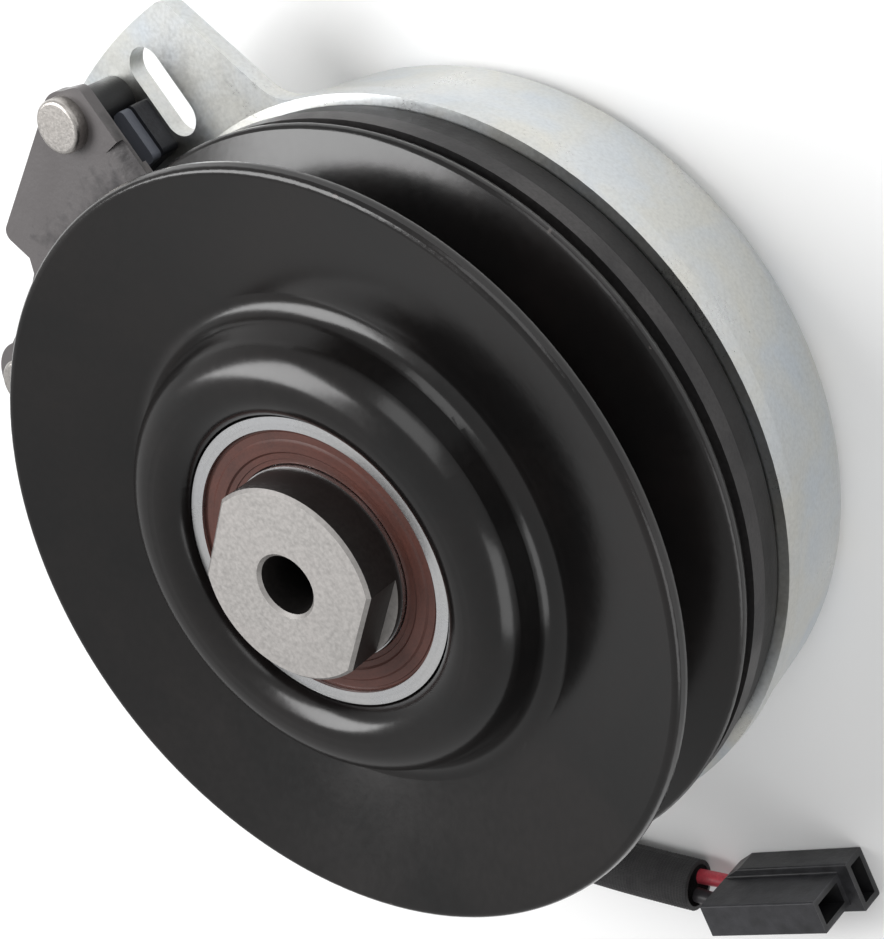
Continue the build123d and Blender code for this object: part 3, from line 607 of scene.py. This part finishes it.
def smooth_route(name: str, points: Sequence[Point]) -> bpy.types.Object:
    """Lay a smooth open line with the points as its control points.

    Args:
        name: The curve's name.
        points: Where the line goes, in metres.

    Returns:
        The curve object, with no thickness yet.
    """
    line = bpy.data.curves.new(name, "CURVE")
    line.dimensions = "3D"
    line.resolution_u = 24
    spline = line.splines.new("NURBS")
    spline.points.add(len(points) - 1)
    for knot, point in zip(spline.points, points):
        knot.co = (*point, 1.0)
    spline.order_u = 3
    spline.use_endpoint_u = True
    curve = bpy.data.objects.new(name, line)
    bpy.context.scene.collection.objects.link(curve)
    return curve


def points_along(curve: bpy.types.Object, step: float) -> list[Vector]:
    """Read evenly spaced points from a curve's own line.

    Args:
        curve: A curve with no thickness.
        step: About how far apart the points are, in metres.

    Returns:
        The points, from the start of the line to its end.
    """
    bpy.context.view_layer.update()
    mesh = bpy.data.meshes.new_from_object(curve.evaluated_get(bpy.context.evaluated_depsgraph_get()))
    line = [vertex.co.copy() for vertex in mesh.vertices]
    bpy.data.meshes.remove(mesh)
    marks = [0.0]
    for start, end in zip(line, line[1:]):
        marks.append(marks[-1] + (end - start).length)
    count = max(2, round(marks[-1] / step))
    spaced = []
    place = 0
    for number in range(count + 1):
        goal = marks[-1] * number / count
        while place < len(line) - 2 and marks[place + 1] < goal:
            place += 1
        share = (goal - marks[place]) / (marks[place + 1] - marks[place])
        spaced.append(line[place].lerp(line[place + 1], share))
    return spaced


# ---------------------------------------------------------------- sub-assemblies
@dataclass
class PackedGroup:
    """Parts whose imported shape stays, with the finish of each."""

    name: str
    finishes: dict[str, str]

    def build(self) -> None:
        """Dress each part of the group."""
        for node, look in self.finishes.items():
            dress(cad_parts[node], look)
        log.info("%s: %d parts", self.name, len(self.finishes))


@dataclass
class MouldedSeals:
    """The rubber seals of the pulley's bearing, with their lip, step and raised bead."""

    step: float = 0.35 * MM
    bead: float = 0.30 * MM
    bead_width: float = 1.3 * MM
    lip_width: float = 0.9 * MM
    edge: float = 0.12 * MM

    def profile(self, inner: float, outer: float, low: float, high: float) -> list[tuple[float, float]]:
        """Give the section of a seal whose face is up.

        Args:
            inner: Radius of the lip.
            outer: Radius of the seat.
            low: Height of the back.
            high: Height of the face.

        Returns:
            The radius and height of each corner.
        """
        middle = (inner + outer) / 2
        face = high - self.bead
        trough = face - self.step * 0.5
        return [
            (inner, low), (inner, trough - self.edge), (inner + self.edge, trough),
            (inner + self.lip_width, trough), (inner + self.lip_width + self.edge, face),
            (middle - self.bead_width, face), (middle - self.bead_width + 2 * self.edge, high - self.edge),
            (middle - self.bead_width + 3 * self.edge, high),
            (middle + self.bead_width - 3 * self.edge, high),
            (middle + self.bead_width - 2 * self.edge, high - self.edge), (middle + self.bead_width, face),
            (outer - 6 * self.edge, face), (outer - 5 * self.edge, trough), (outer - 2 * self.edge, trough),
            (outer - self.edge, face), (outer, face - self.edge), (outer, low),
        ]

    def build(self) -> None:
        """Model both seals and let them stand for the plain packed rings."""
        for node, flip in (("pulley_front_seal", False), ("pulley_rear_seal", True)):
            low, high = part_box(node)
            inner = self.inner_radius(node)
            section = self.profile(inner, high.x, low.z, high.z)
            if flip:
                section = [(radius, low.z + high.z - height) for radius, height in section]
            seal = lathed(node.replace("seal", "moulded_seal"), section)
            dress(seal, "seal_rubber")
            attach(seal, "pulley")
            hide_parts(node)

    @staticmethod
    def inner_radius(node: str) -> float:
        """Give the smallest radius of a packed ring."""
        return min(Vector((v.co.x, v.co.y)).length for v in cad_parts[node].data.vertices)


@dataclass
class Lead:
    """The braided sleeve, whose two wires end in the connector."""

    radius: float = 5.15 * MM
    weave_height: float = 0.22 * MM
    strands: int = 24
    sides: int = 120
    step: float = 0.22 * MM
    length: float = 0.0636
    hem_radius: float = 4.2 * MM

    def route(self) -> list[Point]:
        """Give the sleeve's control points, from the boot to the wires."""
        return [
            (-0.0586, -0.0482, 0.0122), (-0.0596, -0.0582, 0.0109), (-0.0576, -0.0689, 0.0083),
            (-0.0525, -0.0786, 0.0061), (-0.0446, -0.0864, 0.0054), (-0.0274, -0.0972, 0.0052),
        ]

    def build(self) -> None:
        guide = smooth_route("sleeve_line", self.route())
        line = points_along(guide, self.step)
        bpy.data.objects.remove(guide)
        sleeve = self.braided("braided_sleeve", line)
        dress(sleeve, "braid")
        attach(sleeve, "field")
        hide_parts("lead_sleeve")
        log.info("sleeve: %.1f mm long", 1000 * sum((b - a).length for a, b in zip(line, line[1:])))

    def braided(self, name: str, line: Sequence[Vector]) -> bpy.types.Object:
        """Wrap a tube of crossing strands round a line, with its two ends turned in.

        Args:
            name: The new piece's name.
            line: The evenly spaced points that the tube follows.

        Returns:
            The tube, with a map of turns and lengths for its weave.
        """
        rings = []
        heading = (line[1] - line[0]).normalized()
        side = heading.cross(Vector((0, 0, 1))).normalized()
        travelled = 0.0
        for number, point in enumerate(line):
            before = line[max(0, number - 1)]
            after = line[min(len(line) - 1, number + 1)]
            heading = (after - before).normalized()
            side = (side - heading * side.dot(heading)).normalized()
            up = heading.cross(side)
            if number:
                travelled += (point - before).length
            rings.append((point, side, up, travelled))
        around = tau * self.radius
        spots: list[Vector] = []
        maps: list[tuple[float, float]] = []
        start, end = rings[0], rings[-1]
        for ring, tuck in [(start, self.hem_radius), *((r, 0.0) for r in rings), (end, self.hem_radius)]:
            point, side, up, travelled = ring
            for number in range(self.sides + 1):
                turn = number / self.sides
                lay = self.strands * (turn + travelled / around)
                cross = self.strands * (turn - travelled / around)
                swell = self.weave_height * (0.5 * sin(tau * lay) * sin(tau * cross) - 0.5)
                reach = tuck or self.radius + swell
                spots.append(point + (side * cos(tau * turn) + up * sin(tau * turn)) * reach)
                maps.append((turn, travelled / around))
        width = self.sides + 1
        faces = []
        for row in range(len(spots) // width - 1):
            for number in range(self.sides):
                corner = row * width + number
                faces.append((corner, corner + 1, corner + width + 1, corner + width))
        mesh = bpy.data.meshes.new(name)
        mesh.from_pydata([tuple(spot) for spot in spots], [], faces)
        layer = mesh.uv_layers.new(name="weave")
        for loop in mesh.loops:
            layer.data[loop.index].uv = maps[loop.vertex_index]
        tube = bpy.data.objects.new(name, mesh)
        bpy.context.scene.collection.objects.link(tube)
        clear_selection()
        bpy.context.view_layer.objects.active = tube
        tube.select_set(True)
        bpy.ops.object.mode_set(mode="EDIT")
        bpy.ops.mesh.select_all(action="SELECT")
        bpy.ops.mesh.remove_doubles(threshold=0.0000005)
        bpy.ops.mesh.normals_make_consistent(inside=False)
        bpy.ops.object.mode_set(mode="OBJECT")
        bpy.ops.object.shade_smooth()
        return tube


# ---------------------------------------------------------------- studio
@dataclass
class Lamp:
    """One soft rectangular studio light."""

    name: str
    place: Point
    size: tuple[float, float]
    power: float
    aim: Point = (0.0, 0.0, 0.03)

    def build(self) -> None:
        """Hang the light and turn it to its aim."""
        data = bpy.data.lights.new(self.name, "AREA")
        data.shape = "RECTANGLE"
        data.size, data.size_y = self.size
        data.energy = self.power
        lamp = bpy.data.objects.new(self.name, data)
        bpy.context.scene.collection.objects.link(lamp)
        lamp.location = self.place
        lamp.rotation_euler = (Vector(self.aim) - Vector(self.place)).to_track_quat("-Z", "Y").to_euler()


@dataclass
class Studio:
    """The camera, the pale floor, the white surroundings and the lights."""

    lens: float = 87.92
    place: Point = (0.29772, 0.01298, 0.31469)
    right: Point = (0.58477, -0.57386, -0.57336)
    up: Point = (0.38281, 0.81837, -0.42865)
    floor_size: float = 3.0

    def build_camera(self) -> None:
        """Set up the scene's camera."""
        data = bpy.data.cameras.new("camera")
        data.lens = self.lens
        data.sensor_width = 36.0
        data.clip_start = 0.01
        data.dof.use_dof = False
        camera = bpy.data.objects.new("camera", data)
        bpy.context.scene.collection.objects.link(camera)
        right = Vector(self.right).normalized()
        up = Vector(self.up)
        up = (up - right * up.dot(right)).normalized()
        back = right.cross(up)
        turned = Matrix((right, up, back)).transposed().to_4x4()
        camera.matrix_world = Matrix.Translation(self.place) @ turned
        bpy.context.scene.camera = camera

    def build_floor(self) -> None:
        """Lay the pale floor that the clutch rests on."""
        clear_selection()
        bpy.ops.mesh.primitive_plane_add(size=self.floor_size, location=(0, 0, -FLOOR_GAP))
        floor = bpy.context.object
        floor.name = "floor"
        paint = bpy.data.materials.new("floor_paint")
        paint.use_nodes = True
        surface = paint.node_tree.nodes["Principled BSDF"]
        surface.inputs["Base Color"].default_value = (0.93, 0.93, 0.93, 1.0)
        surface.inputs["Roughness"].default_value = 0.7
        floor.data.materials.append(paint)

    def build_light(self) -> None:
        """Set the white surroundings and hang the lights."""
        world = bpy.data.worlds.new("studio")
        world.use_nodes = True
        sky = world.node_tree.nodes["Background"]
        sky.inputs["Color"].default_value = (1.0, 1.0, 1.0, 1.0)
        sky.inputs["Strength"].default_value = 0.55
        bpy.context.scene.world = world
        lamps = [
            Lamp("key_light", (-0.25, 0.55, 0.75), (0.7, 0.5), 8.0),
            Lamp("side_light", (0.75, 0.35, 0.45), (0.5, 0.6), 1.5),
            Lamp("low_light", (0.45, -0.65, 0.35), (0.6, 0.4), 1.5),
        ]
        for lamp in lamps:
            lamp.build()
        bpy.context.scene.view_settings.view_transform = "Standard"


def assemblies() -> Iterable[PackedGroup | MouldedSeals]:
    """Give the sub-assemblies of the clutch, from the back to the front."""
    yield PackedGroup("field", {
        "field_shell": "zinc_plate", "inner_pole": "grey_steel", "coil_bobbin": "bobbin_plastic",
        "coil_winding": "copper_wire", "potting_ring": "potting_resin", "field_outer_race": "bearing_steel",
        "field_inner_race": "bearing_steel", "field_bearing_seals": "seal_rubber",
        "field_balls": "bearing_steel",
        "field_ball_cage": "cage_plastic", "pole_circlip": "spring_steel", "boss_circlip": "spring_steel",
        "lead_boot": "boot_rubber",
    })
    yield PackedGroup("brake", {
        "brake_plate": "brake_steel", "brake_pins": "pin_steel", "pin_bushes": "bush_plastic",
        "magnet_pole_shoes": "pole_shoe_steel", "brake_magnets": "magnet",
    })
    yield PackedGroup("rotor", {
        "rotor_hub": "hub_steel", "rotor_disc": "rotor_steel", "friction_lining": "lining",
        "bearing_spacer": "grey_steel",
    })
    yield PackedGroup("armature", {
        "armature_plate": "armature_steel", "leaf_springs": "spring_steel", "spring_posts": "grey_steel",
        "post_rivets": "grey_steel", "armature_rivets": "grey_steel",
    })
    yield PackedGroup("pulley", {
        "front_sheave_half": "black_coat", "rear_sheave_half": "black_coat",
        "pulley_outer_race": "bearing_steel",
        "pulley_inner_race": "bearing_steel", "pulley_balls": "bearing_steel",
        "pulley_ball_cage": "cage_plastic",
    })
    yield MouldedSeals()
    yield PackedGroup("connector", {
        "lead_wire_red": "red_insulation", "lead_wire_black": "black_insulation",
        "connector_housing": "connector_plastic", "connector_blades": "tinned_brass",
    })


def main() -> None:
    """Build the camera, the lead, the rest of the clutch and the studio."""
    logging.basicConfig(level=logging.INFO, format="%(name)s: %(message)s")
    studio = Studio()
    studio.build_camera()
    Lead().build()
    for group in assemblies():
        group.build()
    studio.build_floor()
    studio.build_light()


if __name__ == "__main__":
    main()
